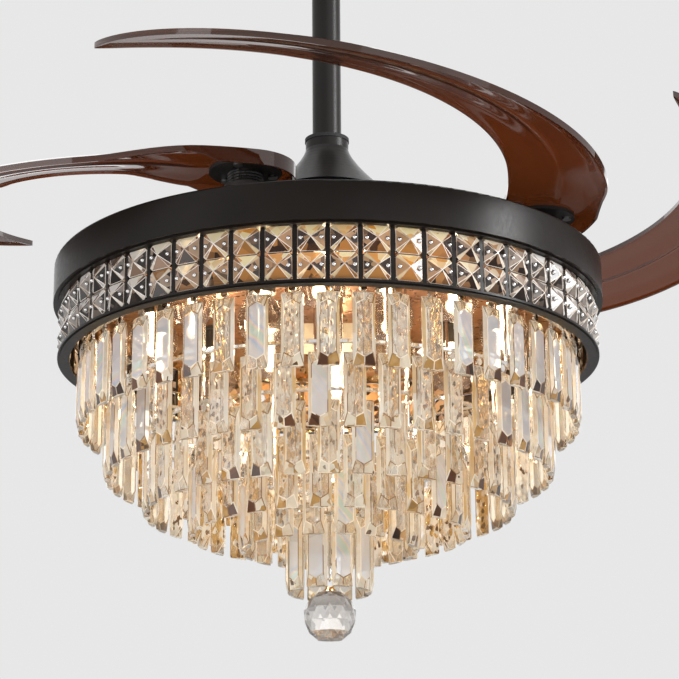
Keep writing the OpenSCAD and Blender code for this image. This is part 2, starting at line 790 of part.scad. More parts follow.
// the plate that the lamps and the tiers hang from, on four spacers under the deck plate
module light_plate() {
    color([0.3, 0.22, 0.16]) translate([0, 0, light_z]) {
        difference() {
            cylinder(r = drum_r - drum_wall - seat, h = light_t, $fn = 96);
            translate([0, 0, -1]) cylinder(r = shaft_d / 2 + run, h = light_t + 2);
        }
        around(4, 45) translate([spacer_at, 0, light_t - eps])
            cylinder(r = spacer_r, h = deck_under - light_z - light_t + eps);
    }
}

// the box that drives the lamps, behind the motor shaft
module driver_box() {
    slot = [4, 3, 6];
    color("gainsboro") translate([-driver[0] / 2, driver_at - driver[1] / 2, light_z - driver[2]])
        difference() {
            cube(driver);
            for (i = [1 : driver_slots])
                translate([i * driver[0] / (driver_slots + 1) - slot[0] / 2, driver[1] - slot[1] + 1, 6])
                    cube(slot);
        }
}

// copies its children at every bulb's place
module at_bulbs() {
    for (c = [0, 1]) around(bulb_n[c], -2.5 + c * 45) translate([bulb_r[c], 0, 0]) children();
}

module bulb_sockets() {
    color("black") at_bulbs() translate([0, 0, light_z - socket_h]) difference() {
        union() {
            cylinder(r = socket_r, h = socket_h);
            translate([0, 0, socket_h - 3]) cylinder(r = socket_r + 4, h = 3);
        }
        translate([0, 0, -1]) cylinder(r = socket_r - 2.5, h = socket_h - 5);
    }
}

// a clear globe with its neck in the socket
module bulb_globes() {
    neck_r = 8.5;
    neck_z = globe_d / 2 * cos(asin(neck_r * 2 / globe_d));
    wall = 1;
    r = globe_d / 2;
    steps = 16;
    start = asin(neck_r / r);
    outer = [for (i = [0 : steps]) let (a = start + (180 - start) * i / steps) [r * sin(a), r * cos(a)]];
    inner = [for (i = [steps : -1 : 0]) let (a = start + (180 - start) * i / steps)
        [(r - wall) * sin(a), (r - wall) * cos(a)]];
    color([1, 0.95, 0.85, 0.4]) at_bulbs() translate([0, 0, dk - globe_drop])
        rotate_extrude($fn = 32) polygon(concat([[neck_r, neck_z + 12]], outer, inner,
            [[neck_r - wall, neck_z + 12]]));
}

// the base, stem and lit core inside each globe
module bulb_cores() {
    base_top = light_z - 6;
    core_z = dk - globe_drop;
    neck_z = core_z + globe_d / 2 + 3;
    color([1, 0.85, 0.6]) at_bulbs() {
        translate([0, 0, neck_z]) cylinder(r = 7, h = base_top - neck_z);
        translate([0, 0, core_z - 6]) cylinder(r = 3, h = neck_z - core_z + 6 + eps);
        translate([0, 0, core_z - 6]) sphere(r = 5, $fn = 24);
    }
}

// ---------------------------------------------------------------- crystal band

// the band's rings: one under the drum, a stepped one at the foot and one behind each joint
// between two rows
module band_frame() {
    foot_in = band_back_r - flange_w;
    low_r = band_r - 3;
    lip_r = band_r - 1;
    low_t = 1.2;
    top_t = 1.5;
    color([0.1, 0.1, 0.1]) {
        translate([0, 0, band_top]) tube(band_r, band_back_r - stone_slab, top_t);
        translate([0, 0, band_foot - flange_t]) rotate_extrude($fn = 120)
            polygon([[foot_in, 0], [low_r, 0], [low_r, low_t], [lip_r, low_t],
                [lip_r, flange_t], [foot_in, flange_t]]);
        for (i = [1 : band_rows - 1]) translate([0, 0, band_foot + i * row_h])
            tube(slat_r, slat_r - divider_w, divider_t);
    }
}

// the upright slats between the rings, one between every two columns of crystals
module band_slats() {
    color([0.1, 0.1, 0.1]) around(band_columns) translate([slat_r, -slat_w / 2, band_foot])
        cube([slat_depth, slat_w, band_h]);
}

// one crystal with cut corners, facing +X: a slab and a pyramid on it
module band_stone() {
    w = stone_w / 2;
    h = band_crystal / 2;
    c = corner_cut;
    s = stone_slab;
    rim = [[-w, c - h], [c - w, -h], [w - c, -h], [w, c - h],
        [w, h - c], [w - c, h], [c - w, h], [-w, h - c]];
    points = concat([for (p = rim) [0, p[0], p[1]]], [for (p = rim) [s, p[0], p[1]]],
        [[s + band_point, 0, 0]]);
    polyhedron(points, concat([[0, 1, 2, 3, 4, 5, 6, 7]],
        [for (i = [0 : 7]) let (n = (i + 1) % 8) [i, i + 8, n + 8, n]],
        [for (i = [0 : 7]) let (n = (i + 1) % 8) [i + 8, 16, n + 8]]));
}

module band_crystals() {
    color([0.93, 0.93, 0.95, 0.5]) for (row = [0 : band_rows - 1])
        around(band_columns, 180 / band_columns)
            translate([band_back_r, 0, band_foot + 1 + (row + 0.5) * row_h]) band_stone();
}

// ---------------------------------------------------------------- prism tiers

function ring_z(i) = dk - tier_drop[i] + prism_l + hook_l;

// a flat ring for each tier, and the lowest one's cross bars
module tier_frames() {
    color("gainsboro") {
        for (i = [0 : 5]) translate([0, 0, ring_z(i)])
            tube(tier_r[i] + ring_w / 2, tier_r[i] - ring_w / 2, ring_t);
        for (a = [0, 90]) rotate(a + rod_az[5])
            translate([-tier_r[5], -bar_w / 2, ring_z(5)]) cube([2 * tier_r[5], bar_w, ring_t]);
    }
}

// the rods that the rings hang by, under the light plate
module tier_rods() {
    color("gainsboro") for (i = [0 : 5]) around(rod_n[i], rod_az[i])
        translate([tier_r[i], 0, ring_z(i) + ring_t])
            cylinder(r = rod_r, h = light_z - ring_z(i) - ring_t, $fn = 16);
}

// the wires that the prisms hang by, each with a bead
module prism_hooks() {
    color("gainsboro") for (i = [0 : 5]) around(tier_n[i])
        translate([tier_r[i], 0, ring_z(i) - hook_l]) {
            translate([0, 0, seat]) cylinder(r = wire_r, h = hook_l - seat, $fn = 16);
            translate([-1.2, 0, hook_l / 2]) rotate([0, 90, 0]) cylinder(d = bead_d, h = 2.4, $fn = 24);
        }
}

// one prism, its face at +X and its ridge behind, hanging down from z = 0: a bar with a
// leaning strip on each side of its face, and at each end two facets that slope back from
// the face to the end's corners and meet in a crease
module prism() {
    a = prism_w / 2;
    rim = a - prism_strip;
    edge = prism_face - prism_lean;
    back = prism_face - prism_t;
    side = (edge + back) / 2;
    crease = prism_face
        - prism_lean * rim * prism_dip / (rim * prism_dip + a * (prism_v - prism_dip));
    plan = [[crease, 0], [side, -a / 2], [side, a / 2], [prism_face, -rim], [edge, -a],
        [prism_face, rim], [edge, a], [back, 0], [prism_face, 0]];
    cut = [0, 0, 0, prism_v, 0, prism_v, 0, prism_v, prism_dip];
    n = len(plan);
    points = concat([for (i = [0 : n - 1]) [plan[i][0], plan[i][1], -cut[i]]],
        [for (i = [0 : n - 1]) [plan[i][0], plan[i][1], cut[i] - prism_l]]);
    top = [[0, 4, 1, 2, 6], [4, 0, 8, 3], [0, 6, 5, 8], [2, 1, 7]];
    foot = [for (f = top) [for (i = [len(f) - 1 : -1 : 0]) f[i] + n]];
    polyhedron(points, concat(top, foot, [[3, 8, 5, n + 5, n + 8, n + 3], [4, 3, n + 3, n + 4],
        [5, 6, n + 6, n + 5], [6, 2, 7, n + 7, n + 2, n + 6], [7, 1, 4, n + 4, n + 1, n + 7]]),
        convexity = 2);
}

module prism_tier(i) {
    color([0.98, 0.93, 0.82, 0.5]) around(tier_n[i])
        translate([tier_r[i], 0, dk - tier_drop[i] + prism_l]) prism();
}

module prisms_1() { prism_tier(0); }
module prisms_2() { prism_tier(1); }
module prisms_3() { prism_tier(2); }
module prisms_4() { prism_tier(3); }
module prisms_5() { prism_tier(4); }
module prisms_6() { prism_tier(5); }

// ---------------------------------------------------------------- crystal ball

facet_lat = [62, 38, 13, -13, -38, -62];
ball_top = dk - drop_z + drop_d / 2 * sin(facet_lat[0]);
cap_h = 5;
link_r = 4.2;
eye_r = 3;
wire = 0.8;
link_z = ball_top + cap_h + link_r - 1;
eye_z = link_z + link_r - 2 * wire - seat;

// the rod under the lowest tier's bars, ending in an eye
module ball_hanger() {
    color("gainsboro") {
        translate([0, 0, eye_z + 2 * eye_r]) cylinder(r = 1.5, h = ring_z(5) - eye_z - 2 * eye_r);
        translate([0, 0, eye_z + eye_r]) rotate([0, 90, 0]) rotate_extrude($fn = 32)
            translate([eye_r, 0]) circle(r = wire, $fn = 16);
    }
}

// the ball's cap, with the link that hangs in the eye
module ball_cap() {
    color("gold") {
        translate([0, 0, ball_top]) cylinder(r1 = 8, r2 = 3, h = cap_h, $fn = 32);
        translate([0, 0, link_z]) rotate([90, 0, 0]) rotate_extrude($fn = 32)
            translate([link_r, 0]) circle(r = wire, $fn = 16);
    }
}

// a faceted ball: rings of flat facets, each turned half a facet from the next, between a
// flat table on top and a shallow point below
module crystal_ball() {
    r = drop_d / 2;
    n = 12;
    rings = len(facet_lat);
    points = concat([for (j = [0 : rings - 1]) for (k = [0 : n - 1])
        let (a = 360 * (k + (j % 2) / 2) / n, c = cos(facet_lat[j]))
            r * [c * cos(a), c * sin(a), sin(facet_lat[j])]],
        [[0, 0, -r * 0.94]]);
    table = [for (k = [n - 1 : -1 : 0]) k];
    bands = [for (j = [0 : rings - 2]) for (k = [0 : n - 1])
        let (u = j * n, d = u + n, m = (k + 1) % n)
        each (j % 2 == 0 ? [[u + k, u + m, d + k], [u + m, d + m, d + k]]
            : [[u + k, d + m, d + k], [u + k, u + m, d + m]])];
    base = (rings - 1) * n;
    foot = [for (k = [0 : n - 1]) [base + n, base + k, base + (k + 1) % n]];
    color([0.95, 0.95, 0.97, 0.5]) translate([0, 0, dk - drop_z])
        polyhedron(points, concat([table], bands, foot), convexity = 2);
}

ceiling_bracket();
canopy();
canopy_screws();
hanger_ball();
ball_pin();
downrod();
coupling();
coupling_pin();
set_screws();
coupling_cover();
cover_ring();
motor_shaft();
shaft_nuts();
upper_bearing();
lower_bearing();
stator_core();
stator_windings();
rotor_plate();
rotor_shell();
magnet_ring();
rotor_screws();
ring_retainer();
pivot_pins();
pivot_caps();
return_springs();
sync_ring();
blade_1();
blade_2();
blade_3();
blade_4();
blade_holder_1();
blade_holder_2();
blade_holder_3();
blade_holder_4();
blade_screws_1();
blade_screws_2();
blade_screws_3();
blade_screws_4();
deck_plate();
drum_shade();
light_plate();
driver_box();
bulb_sockets();
bulb_globes();
bulb_cores();
band_frame();
band_slats();
band_crystals();
tier_frames();
tier_rods();
prism_hooks();
prisms_1();
prisms_2();
prisms_3();
prisms_4();
prisms_5();
prisms_6();
ball_hanger();
ball_cap();
crystal_ball();
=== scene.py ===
"""A ceiling fan with folding blades and a crystal lamp: its finishes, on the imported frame."""

import json
import math

import bmesh
import bpy
from mathutils import Matrix, Vector

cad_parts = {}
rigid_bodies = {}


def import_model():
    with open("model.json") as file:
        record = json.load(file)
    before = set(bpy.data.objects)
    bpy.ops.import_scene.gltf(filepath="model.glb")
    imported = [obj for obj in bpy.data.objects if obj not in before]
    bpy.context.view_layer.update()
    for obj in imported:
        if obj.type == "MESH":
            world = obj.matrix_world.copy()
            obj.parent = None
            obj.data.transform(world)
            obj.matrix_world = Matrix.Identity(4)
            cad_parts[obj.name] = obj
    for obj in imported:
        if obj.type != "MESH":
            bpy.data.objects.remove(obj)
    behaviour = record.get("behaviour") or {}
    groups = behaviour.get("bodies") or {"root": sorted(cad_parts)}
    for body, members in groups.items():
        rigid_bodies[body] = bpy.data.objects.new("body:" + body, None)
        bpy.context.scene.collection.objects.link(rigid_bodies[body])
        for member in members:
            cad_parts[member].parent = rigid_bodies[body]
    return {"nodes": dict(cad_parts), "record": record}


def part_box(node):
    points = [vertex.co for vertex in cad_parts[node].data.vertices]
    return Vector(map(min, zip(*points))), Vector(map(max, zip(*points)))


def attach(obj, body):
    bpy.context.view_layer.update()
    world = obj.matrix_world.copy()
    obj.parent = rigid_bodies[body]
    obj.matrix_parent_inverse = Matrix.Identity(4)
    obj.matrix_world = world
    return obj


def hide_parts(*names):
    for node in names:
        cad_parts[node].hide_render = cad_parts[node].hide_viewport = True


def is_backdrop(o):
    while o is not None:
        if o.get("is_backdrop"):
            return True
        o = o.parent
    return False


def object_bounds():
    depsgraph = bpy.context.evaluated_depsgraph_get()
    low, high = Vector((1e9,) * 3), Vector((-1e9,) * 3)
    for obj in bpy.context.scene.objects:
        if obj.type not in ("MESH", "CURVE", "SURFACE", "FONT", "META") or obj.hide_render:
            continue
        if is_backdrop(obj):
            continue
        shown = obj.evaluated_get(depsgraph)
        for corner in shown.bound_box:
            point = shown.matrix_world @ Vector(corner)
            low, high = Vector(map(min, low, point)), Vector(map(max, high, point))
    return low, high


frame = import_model()
cad_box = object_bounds()

nodes = frame["nodes"]
body_of_node = {n: b for b, ns in frame["record"]["behaviour"]["bodies"].items() for n in ns}
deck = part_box("drum_shade")[1].z

# ---------------------------------------------------------------- camera

PHOTO_SIZE = 679
SENSOR = 36.0
CAMERA_DISTANCE = 2.2
CAMERA_RISE = math.radians(18.5)
FOCAL_PIXELS = 2392
CAMERA_ROLL = math.radians(-0.36)
DECK_X = 327.8                  # where the deck's centre is in the photograph, in pixels
DECK_Y = 275.0


def add_camera():
    """The photograph's view: from the front, looking up."""
    forward = Vector((0, math.cos(CAMERA_RISE), math.sin(CAMERA_RISE)))
    up = Vector((0, -math.sin(CAMERA_RISE), math.cos(CAMERA_RISE)))
    right = Vector((1, 0, 0))
    data = bpy.data.cameras.new("photo_camera")
    data.sensor_width = SENSOR
    data.lens = FOCAL_PIXELS * SENSOR / PHOTO_SIZE
    data.shift_x = (PHOTO_SIZE / 2 - DECK_X) / PHOTO_SIZE
    data.shift_y = (DECK_Y - PHOTO_SIZE / 2) / PHOTO_SIZE
    data.clip_start = 0.05
    data.clip_end = 50
    camera = bpy.data.objects.new("photo_camera", data)
    bpy.context.scene.collection.objects.link(camera)
    turn = Matrix((right, up, -forward)).transposed().to_4x4()
    place = Matrix.Translation(Vector((0, 0, deck)) - CAMERA_DISTANCE * forward)
    camera.matrix_world = place @ turn @ Matrix.Rotation(CAMERA_ROLL, 4, "Z")
    bpy.context.scene.camera = camera


add_camera()

# ---------------------------------------------------------------- material tools

MIX_SOCKETS = (0, 6, 7)         # a colour mix node's factor, first colour and second colour
MIX_RESULT = 2


class Shader:
    """A node material with one Principled shader, and short ways to feed it."""

    def __init__(self, name):
        self.mat = bpy.data.materials.new(name)
        self.mat.use_nodes = True
        self.tree = self.mat.node_tree
        self.bsdf = self.tree.nodes["Principled BSDF"]
        self.coord = self.tree.nodes.new("ShaderNodeTexCoord").outputs["Object"]

    def node(self, kind, links=(), **values):
        made = self.tree.nodes.new(kind)
        for key, value in values.items():
            setattr(made, key, value)
        for socket, source in dict(links).items():
            if isinstance(source, bpy.types.NodeSocket):
                self.tree.links.new(source, made.inputs[socket])
            else:
                made.inputs[socket].default_value = source
        return made

    def put(self, **sockets):
        """Sets the shader's sockets, named with _ for a space, to numbers, colours or outputs."""
        for key, value in sockets.items():
            socket = self.bsdf.inputs[key.replace("_", " ")]
            if isinstance(value, bpy.types.NodeSocket):
                self.tree.links.new(value, socket)
            elif isinstance(value, (tuple, list)) and len(value) == 3:
                socket.default_value = (*value, 1)
            else:
                socket.default_value = value
        return self

    def math(self, operation, *values):
        """A math node's result, from numbers or outputs."""
        made = self.node("ShaderNodeMath", dict(enumerate(values)), operation=operation)
        return made.outputs["Value"]

    def vector_math(self, operation, first, second, output="Vector"):
        made = self.node("ShaderNodeVectorMath", {0: first, 1: second}, operation=operation)
        return made.outputs[output]

    def mapped(self, stretch=(1, 1, 1)):
        links = {"Vector": self.coord, "Scale": stretch}
        return self.node("ShaderNodeMapping", links).outputs["Vector"]

    def noise(self, scale, detail=3.0, stretch=(1, 1, 1)):
        links = {"Vector": self.mapped(stretch), "Scale": scale, "Detail": detail}
        return self.node("ShaderNodeTexNoise", links).outputs["Fac"]

    def cells(self, scale, output="Color", stretch=(1, 1, 1)):
        """Small cells, each with a colour and the distance from its middle."""
        links = {"Vector": self.mapped(stretch), "Scale": scale}
        return self.node("ShaderNodeTexVoronoi", links).outputs[output]

    def cell_value(self, scale, channel="Red", stretch=(1, 1, 1)):
        """A number from 0 to 1 that differs from cell to cell."""
        links = {"Color": self.cells(scale, stretch=stretch)}
        return self.node("ShaderNodeSeparateColor", links).outputs[channel]

    def island(self):
        """A number from 0 to 1 that differs from loose part to loose part."""
        return self.node("ShaderNodeNewGeometry").outputs["Random Per Island"]

    def ramp(self, source, *stops):
        """stops are (position, colour) pairs."""
        made = self.node("ShaderNodeValToRGB", {"Fac": source})
        points = made.color_ramp.elements
        while len(points) < len(stops):
            points.new(0.5)
        for point, (position, colour) in zip(points, stops):
            point.position = position
            point.color = (*colour, 1)
        return made.outputs["Color"]

    def span(self, source, low, high, start=0.3, stop=0.7):
        """The source's stretch from start to stop, as a value from low to high."""
        links = {"Value": source, "From Min": start, "From Max": stop, "To Min": low, "To Max": high}
        return self.node("ShaderNodeMapRange", links).outputs["Result"]

    def blend(self, factor, first, second):
        """The first colour where the factor is 0, and the second where it is 1."""
        made = self.node("ShaderNodeMix", data_type="RGBA")
        for index, value in zip(MIX_SOCKETS, (factor, first, second)):
            if isinstance(value, bpy.types.NodeSocket):
                self.tree.links.new(value, made.inputs[index])
            elif isinstance(value, (tuple, list)):
                made.inputs[index].default_value = (*value, 1)
            else:
                made.inputs[index].default_value = value
        return made.outputs[MIX_RESULT]

    def bump(self, height, distance):
        links = {"Height": height, "Distance": distance, "Strength": 1.0}
        self.put(Normal=self.node("ShaderNodeBump", links).outputs["Normal"])
        return self


def grained(name, light, dark, scale, rough, depth=0.00002, stretch=(1, 1, 1), **sockets):
    """A surface whose tone, gloss and relief vary a little with a fine grain."""
    s = Shader(name)
    wide = s.noise(scale, stretch=stretch)
    fine = s.noise(scale * 9, detail=4, stretch=stretch)
    s.put(Base_Color=s.blend(s.span(wide, 0, 1), dark, light), Roughness=s.span(fine, *rough), **sockets)
    return s.bump(fine, depth).mat


# ---------------------------------------------------------------- plain finishes

finish = {
    "black_metal": grained("charcoal_paint", (0.013, 0.0105, 0.009), (0.009, 0.0075, 0.007), 30,
                           (0.30, 0.38), 0.000012, Specular_IOR_Level=0.25),
    "zinc_steel": grained("zinc_plate", (0.48, 0.48, 0.46), (0.37, 0.38, 0.39), 90, (0.28, 0.44),
                          Metallic=1.0),
    "spring_steel": grained("spring_wire", (0.38, 0.37, 0.36), (0.24, 0.24, 0.25), 160, (0.22, 0.4),
                            Metallic=1.0),
    "cast_alloy": grained("cast_alloy", (0.58, 0.58, 0.58), (0.44, 0.44, 0.45), 140, (0.45, 0.65),
                          0.00012, Metallic=1.0),
    "black_plastic": grained("black_plastic", (0.030, 0.030, 0.030), (0.018, 0.018, 0.019), 120,
                             (0.38, 0.55), 0.00004),
    "rubber": grained("rubber", (0.020, 0.020, 0.020), (0.012, 0.012, 0.012), 150, (0.6, 0.85), 0.00006),
    "rotor_black": grained("rotor_paint", (0.034, 0.034, 0.036), (0.024, 0.024, 0.026), 60,
                           (0.3, 0.45), 0.00002),
    "laminations": grained("laminations", (0.24, 0.26, 0.29), (0.12, 0.13, 0.15), 12, (0.35, 0.55),
                           0.00012, stretch=(0.2, 0.2, 60), Metallic=0.9),
    "magnet": grained("sintered_magnet", (0.14, 0.14, 0.15), (0.08, 0.08, 0.09), 200, (0.4, 0.6),
                      0.00005, Metallic=0.8),
    "copper_wire": grained("enamelled_wire", (0.66, 0.26, 0.10), (0.34, 0.11, 0.04), 12, (0.22, 0.4),
                           0.0003, stretch=(1, 1, 40), Metallic=0.7),
    "gear_nylon": grained("gear_nylon", (0.060, 0.050, 0.044), (0.038, 0.032, 0.030), 50, (0.34, 0.5),
                          0.00004),
    "bronze_plate": grained("bronze_plate", (0.36, 0.17, 0.075), (0.16, 0.07, 0.035), 14, (0.22, 0.42),
                            0.00003, Metallic=0.75),
    "white_plastic": grained("white_plastic", (0.56, 0.52, 0.44), (0.48, 0.44, 0.37), 80, (0.4, 0.55),
                             0.00003),
    "chrome": grained("chrome", (0.88, 0.87, 0.85), (0.74, 0.73, 0.72), 120, (0.05, 0.14), 0.000006,
                      Metallic=1.0),
    "gold_metal": grained("gold_cap", (0.86, 0.62, 0.27), (0.66, 0.43, 0.15), 150, (0.12, 0.26), 0.00001,
                          Metallic=1.0),
}


LINED_FACING = (-0.15, -0.1)    # metres that a point stands out along its face's direction
DIMPLE_SCALE = 130
DIMPLE_DEPTH = 0.0014
PAINT_GRAIN = 0.01              # the paint's relief, as a share of the dimples'
LINING_ROUGH = 0.16


def painted_outside(name):
    """Charcoal paint, and a dimpled brass reflector on the faces turned to the lamp's axis."""
    s = Shader(name)
    place = s.vector_math("MULTIPLY", s.coord, (1, 1, 0))
    normal = s.node("ShaderNodeTexCoord").outputs["Normal"]
    facing = s.vector_math("DOT_PRODUCT", place, normal, "Value")
    inward = s.span(facing, 1, 0, *LINED_FACING)
    paint = s.blend(s.span(s.noise(30), 0, 1), (0.008, 0.0055, 0.0045), (0.011, 0.0075, 0.0055))
    cell = s.cell_value(DIMPLE_SCALE)
    brass = s.blend(s.span(cell, 0, 1), (0.50, 0.33, 0.13), (1.0, 0.90, 0.66))
    grain = s.noise(270, detail=4)
    s.put(Base_Color=s.blend(inward, paint, brass), Metallic=inward, Specular_IOR_Level=0.2,
          Roughness=s.blend(inward, s.span(grain, 0.28, 0.36), (LINING_ROUGH,) * 3))
    fine = s.span(grain, 0, PAINT_GRAIN, 0, 1)
    dimples = s.cells(DIMPLE_SCALE, "Distance")
    return s.bump(s.blend(inward, fine, dimples), DIMPLE_DEPTH).mat


def blade_plastic():
    """Clear brown plastic: amber at the root, greyer and paler towards the tip."""
    s = Shader("blade_plastic")
    along = s.node("ShaderNodeAttribute", attribute_name="along").outputs["Fac"]
    drift = s.math("ADD", s.span(s.noise(4, detail=1), -0.12, 0.12), along)
    tone = s.ramp(drift, (0.0, (0.12, 0.029, 0.007)), (0.3, (0.16, 0.037, 0.010)),
                  (0.7, (0.12, 0.037, 0.015)), (1.0, (0.12, 0.048, 0.026)))
    s.put(Base_Color=tone, Roughness=s.span(s.noise(12, detail=1), 0.03, 0.06), IOR=1.47,
          Transmission_Weight=0.6, Coat_Weight=0.3, Coat_Roughness=0.03)
    return s.mat


def bulb_glass():
    s = Shader("bulb_glass")
    s.put(Base_Color=s.blend(s.span(s.noise(70), 0, 1), (1.0, 0.95, 0.86), (0.98, 0.90, 0.78)),
          Roughness=s.span(s.noise(300), 0.01, 0.05), Transmission_Weight=1.0, Alpha=0.35, IOR=1.45)
    return s.mat


def bulb_glow():
    s = Shader("bulb_glow")
    tone = s.blend(s.span(s.noise(200), 0, 1), (1.0, 0.80, 0.52), (1.0, 0.90, 0.72))
    s.put(Base_Color=tone, Roughness=0.4, Emission_Color=tone, Emission_Strength=7.0)
    return s.mat


HARD = (0.75, 1.15)             # a step in which a tint is nearly all low or high
BULB_LIGHT_FADE = (0.07, 0.18)       # sideways from the middle, where the painted gold of the bulbs' light on a stone starts and ends to fade
GLASS_IOR = 1.52
# the dark brown of the specks, painted shade between the facets
SHADE_SPECK_TONE = (0.10, 0.045, 0.015)
RAINBOW_STRETCH = (26, 26, 20)


def crystal(name, low, high, scale, clear, painted_glow, rough=(0.01, 0.05), painted_rainbow=0.0, shade_specks=0.0,
            facets=0.0, step=(0.2, 1.6), squeeze=1.0, aside=None):
    """Cut glass: a tint that changes from stone to stone and in small cells, painted light and
    shade that stand in for its facets catching the light. clear is how much light goes through,
    the glow is painted light, an emission for the bulbs' light caught in the glass, rough its
    range of roughness, the bands give the strength of pastel bands of painted rainbow light,
    the specks the share of dark cells of painted shade, facets how deep the small facets are
    cut, step the range in which the tint goes from low to high, squeeze below 1 makes the cells
    tall, and aside holds the low and high tint far from the middle of the lamp's front and back,
    where the painted gold of the bulbs' light fades out."""
    s = Shader(name)
    tall = (1, 1, squeeze)
    mixed = s.math("ADD", s.cell_value(scale, stretch=tall), s.island())
    # near the middle of the lamp's front and back the tints are the painted gold of the bulbs' light;
    # aside they fade to the grey aside tints
    if aside:
        across = s.node("ShaderNodeSeparateXYZ", {"Vector": s.coord}).outputs["X"]
        away = s.span(s.math("ABSOLUTE", across), 0, 1, *BULB_LIGHT_FADE)
        low = s.blend(away, low, aside[0])
        high = s.blend(away, high, aside[1])
    tone = s.blend(s.span(mixed, 0, 1, *step), low, high)
    # dark cells of painted shade
    if shade_specks:
        shade_speck = s.cell_value(scale * 1.5, "Green", tall)
        tone = s.blend(s.span(shade_speck, 1, 0, shade_specks - 0.02, shade_specks), tone, SHADE_SPECK_TONE)
    # the bands are painted rainbow light: pastel hues that stand in for light split by the cut glass
    if painted_rainbow:
        wave = {"Vector": s.mapped(RAINBOW_STRETCH), "Scale": 1.0, "Distortion": 3.0, "Detail": 2.0}
        sweep = s.node("ShaderNodeTexWave", wave, bands_direction="DIAGONAL").outputs["Fac"]
        hues = s.ramp(sweep, (0.0, (0.88, 0.87, 0.86)), (0.35, (0.60, 0.76, 0.95)),
                      (0.55, (0.90, 0.78, 0.93)), (0.7, (1.0, 0.90, 0.62)), (0.9, (0.70, 0.88, 0.80)))
        patch = s.span(s.noise(30, detail=0), 0, 1, 0.42, 0.6)
        share = s.math("MULTIPLY", s.span(s.island(), 0, painted_rainbow, 0.4, 0.6), patch)
        tone = s.blend(share, tone, hues)
    # the glow is painted light: an emission that stands in for the bulbs' light caught in the glass
    s.put(Base_Color=tone, Roughness=s.span(s.noise(40), *rough), Transmission_Weight=clear,
          IOR=GLASS_IOR, Emission_Color=tone, Emission_Strength=painted_glow)
    if facets:
        s.bump(s.cells(scale, "Distance", tall), facets)
    return s.mat


finish["blade_plastic"] = blade_plastic()
lined = painted_outside("charcoal_brass_lined")
# the blades' bevelled rims: pale, a painted highlight along their edges
blade_rim_highlight = grained("blade_rim_highlight", (0.80, 0.66, 0.58), (0.62, 0.46, 0.38), 40, (0.08, 0.2), 0.00001,
                    Transmission_Weight=0.3)
finish["bulb_glass"] = bulb_glass()
finish["bulb_glow"] = bulb_glow()
finish["crystal"] = crystal("crystal_clear", (0.62, 0.57, 0.52), (0.86, 0.84, 0.82), 60, 0.85, 0.0)

# prism faces: clear glass with a painted glow and painted rainbow light; the pale ones are less clear,
# with more of both
window = crystal("crystal_window", (0.90, 0.88, 0.86), (0.99, 0.99, 1.0), 60, 0.93, 0.02,
                 (0.0, 0.01), painted_rainbow=0.3)
window_pale = crystal("crystal_window_pale", (0.66, 0.65, 0.65), (0.90, 0.91, 0.95), 20, 0.5, 0.08,
                      (0.0, 0.02), painted_rainbow=1.0)
# warm faces of the prisms before and behind the bulbs: the painted light of the bulbs seen through them
window_bulb_light = crystal("crystal_window_bulb_light", (0.97, 0.86, 0.70), (1.0, 0.97, 0.92), 90, 0.93, 0.03,
                      (0.0, 0.01), painted_rainbow=0.25)
# edge strips: a painted highlight with a painted glow, gold with the painted bulb light near the middle
strip = crystal("crystal_strip", (0.96, 0.76, 0.50), (1.0, 0.95, 0.84), 300, 0.6, 0.12, (0.0, 0.03))
strip_bulb_light = crystal("crystal_strip_bulb_light", (0.84, 0.58, 0.26), (1.0, 0.97, 0.88), 200, 0.6, 0.14,
                     (0.0, 0.03), step=(0.5, 1.4), squeeze=0.2)
# the bevelled edges of the prisms: painted glints, bright and dark cells with a painted glow
line = crystal("crystal_line_glints", (0.26, 0.13, 0.035), (1.0, 0.93, 0.78), 110, 0.4, 0.14,
               (0.0, 0.03), step=HARD, squeeze=0.3)
# backs of the prisms: a warm tint and glow, painted for the bulbs' light
back = crystal("crystal_back", (0.96, 0.80, 0.56), (1.0, 0.97, 0.91), 60, 0.9, 0.03, (0.0, 0.01))
# painted gold glints of the bulbs' light, with painted shade specks, over small facets that are really
# cut
bulb_glints = crystal("crystal_bulb_glints", (0.60, 0.34, 0.09), (1.0, 0.97, 0.88), 300, 0.72, 0.11,
                  (0.0, 0.02), shade_specks=0.12, facets=0.0015, step=(0.65, 1.15), squeeze=0.55)
# cut corners: painted glints of warm light, clear glass with a painted warm glow, and painted shade
cut_glints = crystal("crystal_cut_glints", (0.56, 0.31, 0.08), (1.0, 0.93, 0.76), 130, 0.55, 0.10,
                   (0.0, 0.03), shade_specks=0.06, facets=0.0009, step=HARD)
cut_clear = crystal("crystal_cut_clear", (0.90, 0.74, 0.50), (1.0, 0.95, 0.86), 150, 0.75, 0.05,
                    (0.0, 0.02))
cut_shade = crystal("crystal_cut_shade", (0.014, 0.006, 0.003), (0.15, 0.055, 0.022), 60, 0.15, 0.0)
